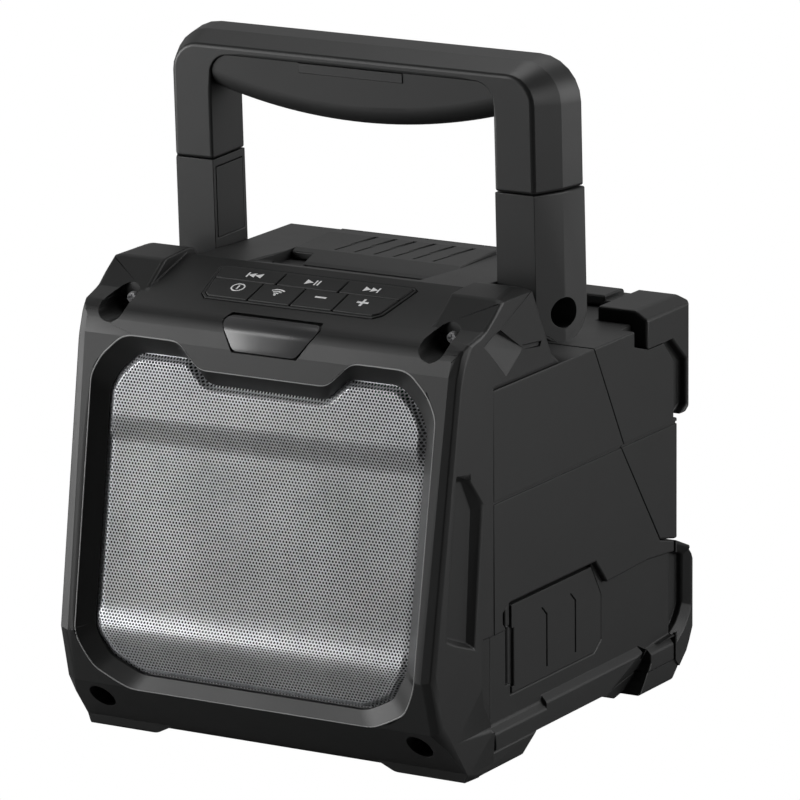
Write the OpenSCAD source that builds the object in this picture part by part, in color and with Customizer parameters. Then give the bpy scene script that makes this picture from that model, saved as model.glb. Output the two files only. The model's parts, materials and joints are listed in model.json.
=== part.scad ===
// Jobsite bluetooth speaker with a folding carry handle, as separate pieces.
// Millimetres. X to the right, Y to the rear, Z up from the ground.

/* [Housing] */
// Width of the housing over its sides
body_w = 216; // [200:1:240]
// Thickness of the moulded walls
wall = 3; // [2.5:0.1:4]
// Height of the underside above the ground
floor_z = 10; // [8:0.5:14]
// Height of the side ledges and the rear shelf
ledge_z = 185.5; // [178:0.5:188]
// Height of the deck between the handle legs
deck_z = 223; // [220:0.5:226]
// Rear edge of the deck
deck_back = 51; // [51:1:56]
// Depth over the front and the rear bumpers
body_d = 250; // [246:1:258]
// Parting groove between the shells
part_gap = 0.6; // [0.3:0.1:1]
// Depth position of the parting line at the ledge
part_top_y = 25; // [15:1:35]
// Depth position of the parting line at its knee
part_mid_y = 52; // [42:1:60]
// Height of the knee and of the side groove
part_mid_z = 131; // [120:1:140]
// Step of the parting line at its knee
part_jog = 2.5; // [1:0.5:4]
// Distance of the parting line's lower end from the rear face
part_low_in = 17.5; // [13:0.5:25]
// Height of the lower end of the parting line
part_low_z = 75; // [73:1:82]
// Depth of the lower side panel
panel_deep = 3; // [2:0.5:3.5]

/* [Front frame] */
// Width of the leaning face
frame_w = 209; // [195:1:212]
// Foremost line of the face
front_y = -125; // [-130:1:-120]
// Height of that line
chin_z = 55; // [50:1:60]
// Lean of the face in degrees
face_lean = 9.6; // [8:0.1:11]
// Height of the top of the face
face_top = 197; // [192:1:202]
// Plane between frame and housing
split_y = -72; // [-76:1:-68]
// Height of the shoulders
shoulder_z = 228.5; // [226:0.5:232]
// Rear edge of the top slope
slope_end = -42; // [-46:1:-38]

/* [Grille] */
// Half width of the opening lip
lip_hw = 95; // [88:0.5:97]
// Depth of the bevel round the grille
bevel_deep = 6.5; // [5.5:0.5:8]
// Width of the bevel
bevel_w = 7.4; // [5:0.1:8]
// Height of the raised bands of the grille
band_rise = 3.5; // [2:0.5:4.5]
// Thickness of the sheet
sheet_t = 1; // [0.8:0.1:1.4]

/* [Keys] */
// Slope of the key field in degrees
key_slope = 17; // [14:0.5:19]
// Depth position of the middle of the key field
key_y = -62; // [-66:1:-60]
// Height of the middle of the key field
key_z = 220; // [218:0.5:222]
// Half width of the key field at the front
pad_hw = 49.5; // [46:0.5:51]
// Flare of the key field towards the rear
pad_flare = 5; // [3:0.5:6]
// Depth of the key field along the slope
pad_d = 31; // [29:0.5:32]
// Distance of the outer slits of the front row from the middle
slit_lo = 23.5; // [20:0.5:26]
// Distance of the slits of the rear row from the middle
slit_hi = 17.3; // [14:0.1:20]
// Travel of a key
key_travel = 0.8; // [0.5:0.1:1]
// Gap round a key
key_gap = 0.35; // [0.3:0.05:0.5]

/* [Lid] */
// Half width of the lid
lid_hw = 46.7; // [40:0.5:50]
// Front edge of the lid
lid_front = -9; // [-14:0.5:-6]
// Depth of the seat under the lid below the deck
seat_drop = 5; // [4:0.5:6.5]
// Depth of the tray
tray_deep = 22; // [14:1:28]

/* [Handle] */
// Depth position of the pivot
pivot_y = -1.8; // [-6:0.2:2]
// Height of the pivot
pivot_z = 208.8; // [207:0.2:210]
// Half of the hand gap
hand_hw = 78.7; // [74:0.1:84]
// Depth of a leg
leg_d = 29.2; // [26:0.2:30]
// Height of the arch above the pivot
arch_h = 122; // [115:1:130]
// Height of the seam above the pivot
seam_h = 59.2; // [50:0.2:70]
// Forward lean of the raised handle in degrees
handle_lean = 2; // [0:0.5:4]
// Radius of the pivot bolt
bolt_r = 4; // [3:0.5:5]
// Radius of the deep hole in a leg
hole_r = 7.4; // [7:0.1:8.5]

/* [Port cover] */
// Hinge line of the cover
flap_y = -53.8; // [-56:0.2:-52]
// Top edge of the cover
flap_top = 78.5; // [74:0.5:80]
// Lower edge of the cover
flap_low = 33; // [31:0.5:38]
// Rear edge of the cover
flap_end = 36.5; // [33:0.5:38]
// Thickness of the cover
flap_t = 3; // [2.4:0.1:3.4]

/* [Drivers] */
// Distance of a driver from the middle
driver_x = 46; // [44:0.5:50]
// Outer radius of a driver
driver_r = 43; // [38:0.5:44]

/* [Hidden] */
$fn = 64;
clear = 0.3;
run = 0.05;
pin_r = 0.8;
pin_low = 31;
pin_top = 74;
half = body_w / 2;
deck_hw = hand_hw - 0.5;
screw_r = 1.6;
head_r = 2.9;
screw_x = 88.8;
screw_hi = 210;
screw_lo = 19.3;
sheet_z = bevel_deep + 0.8;
inset = sheet_z + 8.7;
baffle_t = 4;
seat_z = deck_z - seat_drop;
hinge_y = deck_back - 3;
hinge_z = seat_z + 3.5;
knuckle_r = 2.6;
hinge_gap = 0.4;
mid_v = 56;
end_y = front_y + body_d;
rear_y = end_y - 16;
part_low_y = rear_y - part_low_in;
bump_y = rear_y - 30;
bump_x = 79.5;
bump_top = ledge_z + 7;
bump_low = part_mid_z + 2.5;
block_y = rear_y - 2;
block_top = part_low_z - 3.5;
sill_lo = floor_z + 11.5;
sill_hi = floor_z + 14.6;
sill_end = floor_z + 11.2;
sill_y = -22.5;
scoop_y = 73.5;
flap_in = panel_deep + 3;
flap_x = half - panel_deep - 1.6;
port_x = half - flap_in + 4;
window = [-44, 22, 42, 68];

// Shared frames and profiles

function face_at(z) = front_y + (z - chin_z) * tan(face_lean);
function slope_z(y) = key_z + (y - key_y) * tan(key_slope);
function up(z) = (z - chin_z) / cos(face_lean);
function mirrored(p) = concat(p, [for (i = [len(p) - 1:-1:0]) [-p[i][0], p[i][1]]]);

module yz(w) rotate([90, 0, 90]) translate([0, 0, -w / 2]) linear_extrude(w) children();
module yz_from(x, w) rotate([90, 0, 90]) translate([0, 0, x]) linear_extrude(w) children();
module xz(y, d) translate([0, y + d, 0]) rotate([90, 0, 0]) linear_extrude(d) children();
module on_face() translate([0, front_y, chin_z]) rotate([90 - face_lean, 0, 0]) children();
module on_slope() translate([0, key_y, key_z]) rotate([key_slope, 0, 0]) children();
module on_handle() translate([0, pivot_y, pivot_z]) rotate([handle_lean, 0, 0]) children();
module along_y(x, y, z, r, d) translate([x, y, z]) rotate([-90, 0, 0]) cylinder(r = r, h = d);
module along_x(x, y, z, r, d) translate([x, y, z]) rotate([0, 90, 0]) cylinder(r = r, h = d);
module both() {
  children();
  mirror([1, 0, 0]) children();
}

// Front frame

frame_side = [[front_y + 29, 4], [front_y + 7, chin_z - 27], [front_y, chin_z],
  [face_at(face_top), face_top], [face_at(face_top) + 4, face_top + 10.5],
  [face_at(face_top) + 10, face_top + 14.3], [key_y - 20, slope_z(key_y - 20)],
  [slope_end, slope_z(slope_end)], [slope_end, ledge_z + 31], [split_y, ledge_z + 6],
  [split_y, 4]];

shoulder_side = [[split_y - 12, slope_z(split_y - 12) - 2], [split_y + 10, shoulder_z - 1.5],
  [split_y + 30, shoulder_z], [split_y + 37, shoulder_z - 1],
  [split_y + 40, shoulder_z - 5], [split_y + 53, shoulder_z - 29.5],
  [split_y + 57, shoulder_z - 37], [split_y + 66, ledge_z], [split_y - 12, ledge_z]];

frame_nose = [[front_y + 28, -2], [front_y + 29, 4], [front_y + 7, chin_z - 27], [front_y, chin_z],
  [face_at(face_top), face_top], [face_at(face_top) + 4, face_top + 10.5],
  [face_at(face_top) + 10, face_top + 14.3]];
function frame_half(y) = frame_w / 2 + (half - frame_w / 2) * (y - front_y) / (split_y - front_y);
function inward(p, r) = p + r * ([-55, 115] - p) / norm([-55, 115] - p);

module frame_loft() hull() {
  for (k = [[0, 5.5], [1.6, 1.6], [5.5, 0]], p = frame_nose)
    translate([0, inward(p, k[0])[0], inward(p, k[0])[1]])
      cube([2 * frame_half(p[0]) - 2 * k[1], 0.02, 0.02], center = true);
  for (y = [split_y, -2])
    xz(y, 0.02) polygon(mirrored([[half - 1.5, -2], [half, 22], [half, 240]]));
}

slot_mid = [split_y - 26, 108];
slot_side = [[face_at(71) + 7.5, 71], [face_at(152) + 5, 152], [split_y - 22, 150.5],
  [split_y - 9, 133], [split_y - 16, 63]];

module frame_slot() hull() {
  yz_from(half - 5, 0.02) translate(slot_mid) scale([0.7, 0.91]) translate(-slot_mid) polygon(slot_side);
  yz_from(half, 5) polygon(slot_side);
}

module shoulder_pocket() {
  intersection() {
    yz_from(half - 8, 20) polygon([[split_y - 7, shoulder_z - 20.5], [split_y + 6, shoulder_z - 14.5],
      [split_y + 28, shoulder_z - 28], [split_y + 14, shoulder_z - 39.5]]);
    translate([half, split_y + 28, shoulder_z - 28.5]) rotate([0, -8.6, -5.2])
      translate([0, -60, -60]) cube(120);
  }
  yz_from(half - 1.2, 10) polygon([[split_y + 27, shoulder_z - 26.8], [split_y + 29, shoulder_z - 29.2],
    [split_y + 45, shoulder_z - 30.6], [split_y + 46, shoulder_z - 28.6]]);
}

lip = mirrored([[67, up(28.3)], [74, up(31)], [86, up(37)], [lip_hw - 4, up(46)],
  [lip_hw - 1, up(54)], [lip_hw, up(177)], [lip_hw - 5, up(186.6)], [80.6, up(195.5)],
  [75.5, up(197.4)], [50, up(197.4)], [46, up(195.8)], [40.3, up(190)], [35, up(185.4)]]);

module lip_shape(s) translate([0, mid_v]) scale([1 - s / lip_hw, 1 - s / 85]) translate([0, -mid_v])
  polygon(lip);

module face_bevel() translate([0, mid_v, -bevel_deep]) linear_extrude(bevel_deep * 2,
  scale = [(lip_hw + bevel_w) / (lip_hw - bevel_w), (85 + bevel_w) / (85 - bevel_w)])
  translate([0, -mid_v]) lip_shape(bevel_w);

module front_frame() color("#2a2b2c") difference() {
  union() {
    difference() {
      intersection() {
        frame_loft();
        yz(body_w + 20) polygon(frame_side);
      }
      yz(196) polygon([[face_at(40) + inset, 40], [face_at(26) + inset + 10, 26],
        [front_y + 29, 13], [split_y + 12, 13], [split_y + 12, ledge_z],
        [face_at(ledge_z) + inset, ledge_z]]);
      yz(148) polygon([[face_at(180) + inset, 180], [face_at(198) + inset, 198],
        [key_y - 22, slope_z(key_y - 22) - 4.5], [slope_end + 2, slope_z(slope_end + 2) - 4],
        [slope_end + 2, 180]]);
    }
    intersection() {
      frame_loft();
      both() yz_from(hand_hw + 0.6, half - hand_hw - 0.6) polygon(shoulder_side);
      both() translate([101, 0, shoulder_z]) rotate([0, 20, 0]) translate([-100, -200, -200])
        cube([260, 400, 200]);
    }
    intersection() {
      frame_loft();
      both() yz_from(57, 49.5) polygon([[front_y + 28, 5], [front_y + 29, 0], [split_y + 30, 0],
        [split_y + 47, floor_z], [split_y - 2, floor_z], [split_y - 2, 5]]);
      both() xz(front_y, 120) polygon([[57, 20], [57, 5], [69, -1], [120, -1], [120, 20]]);
    }
    intersection() {
      frame_loft();
      yz(body_w + 20) polygon(frame_side);
      both() along_y(screw_x, front_y, screw_lo, 9, split_y - front_y);
    }
    on_slope() for (x = [-1, 1], y = [-11, 11]) translate([x * (pad_hw + 9.5), y, -7])
      cylinder(r = 2.5, h = 4);
  }
  on_face() face_bevel();
  on_face() translate([0, 0, -inset]) linear_extrude(inset) lip_shape(bevel_w);
  on_face() translate([0, 0, -inset]) linear_extrude(inset - sheet_z) lip_shape(bevel_w - 2);
  both() {
    along_y(screw_x, front_y - 5, screw_hi, 7.4, split_y - 3.4 - front_y + 5);
    along_y(screw_x, front_y - 5, screw_hi, screw_r + run, 120);
    along_y(screw_x, front_y - 5, screw_lo, 6.4, 38);
    along_y(screw_x, front_y - 5, screw_lo, screw_r + run, 90);
    frame_slot();
    shoulder_pocket();
    yz_from(half - panel_deep, 10) polygon([[split_y + 1, 66.5], [split_y - 9.5, 66.5], [split_y - 11.2, 54.5],
      [split_y - 11.4, 45], [split_y - 7.6, 34], [split_y - 1.4, sill_lo + 4.5], [split_y + 1, sill_lo]]);
    xz(front_y, split_y - front_y + 1) polygon([[half + 3, sill_lo - 5], [half - 2.4, sill_lo],
      [half + 0.3, sill_lo + 36], [half + 3, sill_lo + 36]]);
    translate([82.6, split_y + 11.6, ledge_z - 1]) cube([12.8, 12.8, 36]);
  }
  on_slope() translate([0, 0, -2.4]) linear_extrude(20) pad_shape(clear);
  on_slope() translate([0, 0, -9]) linear_extrude(20) pad_shape(-1.1);
  badge_solid(1.2, 0.6);
}

module badge_solid(deep, grow) intersection() {
  difference() {
    yz(120) polygon(frame_side);
    translate([0, deep * 0.9, -deep]) yz(130) polygon(frame_side);
  }
  xz(front_y, 50) polygon([[-17.2 - grow, 196.7 - grow], [17.2 + grow, 196.7 - grow],
    [26.4 + grow, 209 + grow], [24.5 + grow, 211.4 + grow], [-24.5 - grow, 211.4 + grow],
    [-26.4 - grow, 209 + grow]]);
}

module badge() color("#4a4c4f") badge_solid(1.2, 0);

// Grille, baffle and drivers

band_edge = bevel_w + 0.8;
low_band = [up(20), up(66), up(46), 0.5];
high_band = [up(141), up(205), up(174), 0.7];

module band(b) translate([0, b[2], 0]) linear_extrude(band_rise, slices = 1, scale = [0.943, b[3]])
  translate([0, -b[2]]) intersection() {
    lip_shape(band_edge);
    translate([-200, b[0]]) square([400, b[1] - b[0]]);
  }

module grille() color("#8d9094") on_face() {
  difference() {
    union() {
      translate([0, 0, -sheet_z - sheet_t]) linear_extrude(sheet_t) lip_shape(bevel_w - 1.8);
      for (b = [low_band, high_band]) translate([0, 0, -sheet_z - 0.01]) band(b);
    }
    for (b = [low_band, high_band]) translate([0, 0, -sheet_z - sheet_t - 0.02]) band(b);
  }
  translate([0, 0, -inset]) linear_extrude(inset - sheet_z - sheet_t) difference() {
    lip_shape(bevel_w - 1.8);
    lip_shape(bevel_w - 0.4);
  }
}

module baffle() color("#1c1c1d") on_face() difference() {
  translate([-97.6, up(42), -inset - baffle_t]) cube([195.2, up(182) - up(42), baffle_t]);
  for (s = [-1, 1]) translate([s * driver_x, mid_v, -inset - 10]) cylinder(r = driver_r - 6, h = 20);
}

module at_drivers() on_face() for (s = [-1, 1])
  translate([s * driver_x, mid_v, -inset - baffle_t]) children();

module driver_baskets() color("#3b3d40") at_drivers() rotate_extrude() polygon([[driver_r - 6, 0],
  [driver_r, 0], [driver_r, -2.5], [driver_r - 4, -2.5], [26, -28], [26, -31], [12, -31],
  [12, -28.5], [23.5, -28.5], [driver_r - 8.5, -2.5], [driver_r - 6, -2.5]]);

module driver_cones() color("#161616") at_drivers() rotate_extrude() polygon([[0, -17], [11, -20],
  [driver_r - 14, -5], [driver_r - 14, -4], [11, -18.8], [0, -16]]);

module driver_surrounds() color("#202022") at_drivers() rotate_extrude() polygon([
  [driver_r - 13.9, -4.6], [driver_r - 13.9, -2.9], [driver_r - 12, -0.8], [driver_r - 9, -0.8],
  [driver_r - 6.2, -1.4], [driver_r - 6.2, -2.5], [driver_r - 8.2, -2.5], [driver_r - 10, -2],
  [driver_r - 12, -2.6]]);

module driver_magnets() color("#55585c") at_drivers() rotate_extrude() polygon([[0, -47], [30, -47],
  [30, -31], [11, -31], [11, -24], [0, -24]]);

// Key field

pad_lo = -pad_d / 2 - 2;
pad_hi = pad_d / 2 - 2;

module pad_shape(grow) polygon(mirrored([[pad_hw - 3 + grow * 0.6, pad_lo - grow],
  [pad_hw + 0.5 + grow, pad_lo + 3.5 - grow * 0.4], [pad_hw + pad_flare + grow, pad_hi - 2 + grow * 0.4],
  [pad_hw + pad_flare - 2.5 + grow * 0.6, pad_hi + grow]]));

row_y = 0.5;
key_rim = 1.6;
low_edges = [-pad_hw - 20, -slit_lo, 0, slit_lo, pad_hw + 20];
top_edges = [-pad_hw - 20, -slit_hi, slit_hi, pad_hw + 20];

module row(edges, i, low, high) intersection() {
  translate([edges[i] + key_gap, low]) square([edges[i + 1] - edges[i] - 2 * key_gap, high - low]);
  pad_shape(-key_rim);
}
module low_key(i) row(low_edges, i, -pad_d, row_y - key_gap);
module top_key(i) row(top_edges, i, row_y + key_gap, pad_d);

module key_surround() color("#262728") on_slope() translate([0, 0, -2.4]) linear_extrude(2.8)
  difference() {
    pad_shape(0);
    pad_shape(key_gap - key_rim);
  }

module key_body() translate([0, 0, -4.6]) linear_extrude(5.6) children();
module key_power() color("#2c2d2f") on_slope() key_body() low_key(0);
module key_wireless() color("#2c2d2f") on_slope() key_body() low_key(1);
module key_minus() color("#2c2d2f") on_slope() key_body() low_key(2);
module key_plus() color("#2c2d2f") on_slope() key_body() low_key(3);
module key_previous() color("#2c2d2f") on_slope() key_body() top_key(0);
module key_play() color("#2c2d2f") on_slope() key_body() top_key(1);
module key_next() color("#2c2d2f") on_slope() key_body() top_key(2);

module key_board() color("#1f5a3a") on_slope() translate([-pad_hw - 12, -14, -8.6])
  cube([2 * pad_hw + 24, 28, 1.6]);

module front_screws() color("#b9bcc0") both() {
  along_y(screw_x, split_y - 5.8, screw_hi, head_r, 2.4);
  along_y(screw_x, split_y - 4, screw_hi, screw_r, 24);
  along_y(screw_x, front_y + 30.6, screw_lo, head_r, 2.4);
  along_y(screw_x, front_y + 32, screw_lo, screw_r, 34);
}

// Housing

module parted() polygon([[split_y - 30, -10], [block_y - part_gap, -10], [block_y - part_gap, block_top],
  [part_low_y, part_low_z], [part_mid_y, part_mid_z - 0.6], [part_mid_y + part_jog, part_mid_z + 0.6],
  [part_top_y, ledge_z + 0.01], [deck_back + 60, ledge_z + 0.01], [deck_back + 60, 300],
  [split_y - 30, 300]]);

module panel_shape() polygon([[split_y - 1, sill_lo], [sill_y, sill_lo], [sill_y, sill_hi],
  [scoop_y, sill_hi], [scoop_y + 2, sill_end], [block_y + 1, sill_end + 2], [block_y + 1, block_top - 6],
  [79, 67.8], [flap_end + 1.5, 66.5], [26.5, flap_top + 0.8], [-57, flap_top + 0.8],
  [-63.8, flap_top - 3], [-63.8, flap_top - 8], [-60.5, 66.5], [split_y - 1, 66.5]]);

module sill(z) polygon([[half - panel_deep, z], [half + 1.2, z], [half + 1.2, z - 4.9]]);

module scoop() {
  intersection() {
    yz_from(half - 12, 20) polygon([[scoop_y - 44, -1], [scoop_y - 38, 9], [scoop_y - 2, sill_hi - 3],
      [scoop_y, sill_hi + 0.4], [scoop_y + 8.5, sill_end + 0.3], [scoop_y + 9, 14.4], [scoop_y + 3, 5.8],
      [scoop_y - 3, -1]]);
    translate([half, scoop_y - 2, sill_hi - 3]) rotate([0, 27.1, 10.1]) translate([0, -90, -90]) cube(180);
  }
  yz_from(half - 6, 10) polygon([[scoop_y, sill_hi + 0.4], [scoop_y + 2.5, 18], [scoop_y + 7.5, 16],
    [scoop_y + 8, sill_end + 0.3]]);
}

flap_front = flap_y + 2.6;

module flap_shape(g) polygon([[flap_front - 2.5 * g, flap_low - g], [29.5 + g, flap_low - g],
  [flap_end + g, flap_low + 5 - g], [flap_end + g, flap_top - 18], [25.5 + g, flap_top + g],
  [flap_front - 2.5 * g, flap_top + g]]);

module flap_pocket() {
  yz_from(half - flap_in, 10) flap_shape(0.4);
  yz_from(half - flap_in - 1, 10) polygon([[flap_y - 2.8, 38], [flap_front, 38], [flap_front, 66.6],
    [flap_y - 2.8, 66.6]]);
  yz_from(half - flap_in, 10) difference() {
    polygon([[-58, 66], [-63.8, flap_top - 8], [-63.8, flap_top - 3], [-57, flap_top + 0.8],
      [flap_front, flap_top + 0.8], [flap_front, 66]]);
    polygon([[flap_y - 2.4, 60], [flap_y - 2.4, flap_top - 3.5], [flap_y - 0.4, flap_top - 1.5],
      [flap_y + 1.6, flap_top - 1.5], [flap_y + 1.6, 60]]);
  }
  yz_from(half - panel_deep - 0.4, 10) polygon([[flap_y - 2.5, 66], [flap_y - 2.5, flap_top],
    [flap_front, flap_top], [flap_front, 66]]);
}

module shell_core() difference() {
  union() {
    difference() {
      intersection() {
        union() {
          translate([-half, split_y, floor_z]) cube([body_w, 200, ledge_z - floor_z]);
          yz(2 * deck_hw) polygon([[split_y, ledge_z - wall], [split_y, ledge_z + 6],
            [slope_end, ledge_z + 31], [slope_end, slope_z(slope_end) - 1], [0, deck_z],
            [deck_back, deck_z], [deck_back + 6, ledge_z], [deck_back + 6, ledge_z - wall]]);
        }
        yz(300) parted();
      }
      translate([-half + 8, split_y - 1, floor_z + wall]) cube([body_w - 16, 300, flap_top]);
      translate([-half + wall, split_y - 1, floor_z + 70])
        cube([body_w - 2 * wall, 300, ledge_z - wall - floor_z - 70]);
      yz(2 * deck_hw - 2 * wall) polygon([[split_y - 1, ledge_z - wall - 1],
        [split_y - 1, deck_z - wall], [deck_back - wall, deck_z - wall],
        [deck_back + 6 - wall, ledge_z - wall - 1]]);
    }
    yz(2 * lid_hw + 6) polygon([[lid_front - 6, seat_z - 4], [deck_back - 1, seat_z - 4],
      [deck_back - 1, deck_z - 0.5], [lid_front - 6, deck_z - 0.5]]);
    translate([-lid_hw + 3, 0, seat_z - tray_deep - 2]) cube([2 * lid_hw - 6, 44, tray_deep]);
    both() translate([83, split_y + 12, ledge_z - 1]) cube([12, 12, 34]);
    both() translate([80, split_y, floor_z + 1]) cube([18, 16, 18]);
  }
  yz(2 * lid_hw + 2 * hinge_gap) polygon([[slope_end - 1, slope_z(slope_end)], [lid_front - hinge_gap, seat_z],
    [hinge_y - 3.4, seat_z], [hinge_y - 3.4, 300], [slope_end - 1, 300]]);
  yz(2 * lid_hw + 2 * hinge_gap) polygon([[hinge_y - 3.5, seat_z], [200, seat_z], [200, 300],
    [hinge_y - 3.5, 300]]);
  translate([-lid_hw + 5, 2, seat_z - tray_deep]) cube([2 * lid_hw - 10, 40, tray_deep + 1]);
  both() {
    yz_from(half - panel_deep, 10) panel_shape();
    xz(split_y - 1, sill_y - split_y + 1) sill(sill_lo + 0.01);
    xz(sill_y, scoop_y + 1 - sill_y) sill(sill_hi + 0.01);
    xz(scoop_y + 1, block_y - scoop_y) sill(sill_end + 1.01);
    scoop();
    yz_from(half - 0.8, 10) polygon([[split_y - 1, part_mid_z - 0.6], [150, part_mid_z - 0.6],
      [150, part_mid_z + 0.6], [split_y - 1, part_mid_z + 0.6]]);
    along_x(0, pivot_y, pivot_z, bolt_r + 2.5, 150);
    along_y(screw_x, split_y - 1, screw_hi, screw_r + run, 22);
    along_y(screw_x, split_y - 1, screw_lo, screw_r + run, 15);
  }
  translate([half - 9, window[0], window[2]])
    cube([20, window[1] - window[0], window[3] - window[2]]);
  flap_pocket();
  translate([flap_x, flap_y, pin_low]) cylinder(r = pin_r + run, h = pin_top - pin_low);
}

module hinge_lugs() for (x = [[-lid_hw + 0.3, -34.5], [-2.5, 2.5], [34.5, lid_hw - 0.3]]) difference() {
  union() {
    along_x(x[0], hinge_y, hinge_z, knuckle_r, x[1] - x[0]);
    translate([x[0], hinge_y - knuckle_r, seat_z - 0.5]) cube([x[1] - x[0], 2 * knuckle_r, 4]);
  }
  along_x(-100, hinge_y, hinge_z, 1.2 + run, 200);
}

module front_shell() color("#303133") {
  shell_core();
  hinge_lugs();
}

function bump_side(g) = [[bump_y + g, bump_top], [bump_y + g, bump_top - 19 + g],
  [bump_y + 17, bump_top - 19 + g], [bump_y + 27 + g, bump_top - 30], [bump_y + 27 + g, bump_low + g],
  [end_y - 6, bump_low + g], [end_y, bump_low + 4], [end_y, bump_top - 4], [end_y - 4, bump_top]];

module rear_room(hw, y, z) translate([-hw, -100, block_top + part_gap + wall + 3])
  cube([2 * hw, y + 100, z - block_top - part_gap - wall - 3]);

module rear_shell() color("#2d2e30") difference() {
  union() {
    difference() {
      intersection() {
        translate([-half, -100, block_top + part_gap])
          cube([body_w, rear_y + 100, ledge_z - block_top - part_gap]);
        yz(300) polygon([[block_y, 0], [block_y, block_top + part_gap],
          [part_low_y + part_gap, part_low_z + part_gap / 2], [part_mid_y + part_gap, part_mid_z - 0.6],
          [part_mid_y + part_jog + part_gap, part_mid_z + 0.6], [part_top_y + part_gap, ledge_z],
          [200, ledge_z], [200, 0]]);
      }
      rear_room(half - wall, bump_y - wall, ledge_z - wall);
      rear_room(half - wall, bump_y + 27 - wall, bump_top - 30 - wall);
      rear_room(half - wall, rear_y - wall, bump_low - wall);
      rear_room(bump_x - wall, rear_y - wall, ledge_z - wall);
    }
    both() translate([half - 12, bump_y - 17, ledge_z - 16]) cube([12, 17, 16]);
  }
  both() {
    yz_from(bump_x, 60) polygon(bump_side(0));
    yz_from(half - 9, 20) polygon([[bump_y - 13, ledge_z + 1], [bump_y - 13, ledge_z - 8],
      [bump_y + 1, bump_top - 19], [bump_y + 1, ledge_z + 1]]);
    yz_from(half - 0.8, 10) polygon([[0, part_mid_z - 0.6], [150, part_mid_z - 0.6],
      [150, part_mid_z + 0.6], [0, part_mid_z + 0.6]]);
  }
}

module board_posts() for (x = [-52, 52], z = [part_low_z + 19, ledge_z - 20])
  along_y(x, rear_y - wall - 4, z, 3, 4.5);

module rear_shell_whole() {
  rear_shell();
  color("#2d2e30") board_posts();
}

channel_mid = [block_y - 14, 46];

module channel() polygon([[block_y - 1, sill_end + 1.6], [block_y - 0.5, sill_end + 2], [end_y - 12.6, 26.8],
  [end_y - 9, 30.9], [end_y - 6, 36], [end_y - 6, block_top - 10.5], [block_y - 1, block_top - 6]]);

module bumper_lower() color("#262728") difference() {
  union() {
    yz(body_w + 1) polygon([[block_y, floor_z], [rear_y + 2, 6], [end_y - 6.6, 12.3], [end_y - 2.9, 17.9],
      [end_y, 23.3], [end_y, block_top - 13.5], [end_y - 3.5, block_top - 6], [block_y, block_top]]);
    both() yz_from(60, half - 60.5) polygon([[block_y - 73, floor_z], [block_y - 45, 0], [rear_y - 4, 0],
      [rear_y + 2.4, 5.8], [end_y - 6.6, 12.3], [end_y - 6.6, floor_z + 6], [block_y, floor_z + 6],
      [block_y, floor_z]]);
  }
  translate([-half + 8, block_y + 4, floor_z + 5])
    cube([body_w - 16, end_y - block_y - 10, block_top - floor_z - 9]);
  both() {
    yz_from(half - 6, 10) channel();
    rotate([90, 0, 90]) translate([channel_mid[0], channel_mid[1], half - panel_deep])
      linear_extrude(3.6, slices = 1, scale = 1.18) translate(-channel_mid) channel();
    scoop();
  }
}

module bumper_right() color("#262728") difference() {
  union() {
    yz_from(bump_x + 0.3, half - bump_x - 0.6) polygon(bump_side(0.3));
    yz_from(49, bump_x - 48) polygon([[rear_y - 4, ledge_z + 0.3], [rear_y - 4, bump_top - 3.5],
      [end_y, bump_top - 3.5], [end_y, ledge_z - 8], [rear_y + 0.3, ledge_z - 8],
      [rear_y + 0.3, ledge_z + 0.3]]);
    yz_from(49, 21) polygon([[rear_y - 4, ledge_z + 0.3], [rear_y - 4, bump_top - 1],
      [end_y - 2, bump_top - 1], [end_y, bump_top - 3], [end_y, ledge_z + 0.3]]);
  }
  yz_from(half - 5, 10) polygon([[bump_y + 17, bump_top - 19], [bump_y + 25, bump_top - 18.5],
    [end_y - 5.5, bump_top - 32], [end_y - 5.5, bump_low + 4], [end_y - 14, bump_low - 1],
    [bump_y + 26, bump_low - 1], [bump_y + 26, bump_top - 30], [bump_y + 16, bump_top - 19.5]]);
  xz(0, 200) polygon([[half - 7, bump_top + 0.01], [half + 1, bump_top + 0.01], [half + 1, bump_top - 5]]);
  translate([half + 11, end_y, bump_top]) rotate([0, 0, 45]) cube([20, 20, 200], center = true);
}

module bumper_left() mirror([1, 0, 0]) bumper_right();

// Lid

lid_top = deck_z + 2;

module lid() color("#333436") difference() {
  union() {
    yz(2 * lid_hw) polygon([[lid_front, seat_z + clear], [lid_front + 3, seat_z + 1.6],
      [lid_front + 14, deck_z + 0.4], [hinge_y - 12, lid_top], [hinge_y - 3, lid_top - 0.6],
      [hinge_y - 3, seat_z + clear]]);
    for (s = [-1, 1]) difference() {
      union() {
        along_x(s * 18.5 - 15.4, hinge_y, hinge_z, knuckle_r, 30.8);
        translate([s * 18.5 - 15.4, hinge_y - 3.2, hinge_z - 1.5]) cube([30.8, 3.2, 4]);
      }
    }
  }
  along_x(-100, hinge_y, hinge_z, 1.2 + run, 200);
  yz(2 * lid_hw - 12) polygon([[lid_front + 9, seat_z - 1], [lid_front + 15, deck_z - 2.6],
    [hinge_y - 8, deck_z - 2.6], [hinge_y - 8, seat_z - 1]]);
  for (i = [0:5]) translate([-24 + i * 11, hinge_y - 28, lid_top - 0.3]) rotate([0, 0, -14])
    translate([-0.8, 0, -0.9]) cube([1.6, 17, 4]);
  translate([-lid_hw - 1, lid_front - 1, seat_z - 1]) cube([13, 11, 20]);
}

module lid_pin() color("#9a9da1") along_x(-lid_hw + 1, hinge_y, hinge_z, 1.2, 2 * lid_hw - 2);

// Handle

function arc(cx, cz, r, n) = [for (i = [0:n]) [cx + r * cos(90 * i / n), cz + r * sin(90 * i / n)]];

module arch_plate(y, hw, h, r) xz(y, 0.02)
  polygon(mirrored(concat([[hw, -40]], arc(hw - r, h - r, r, 6))));

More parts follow.
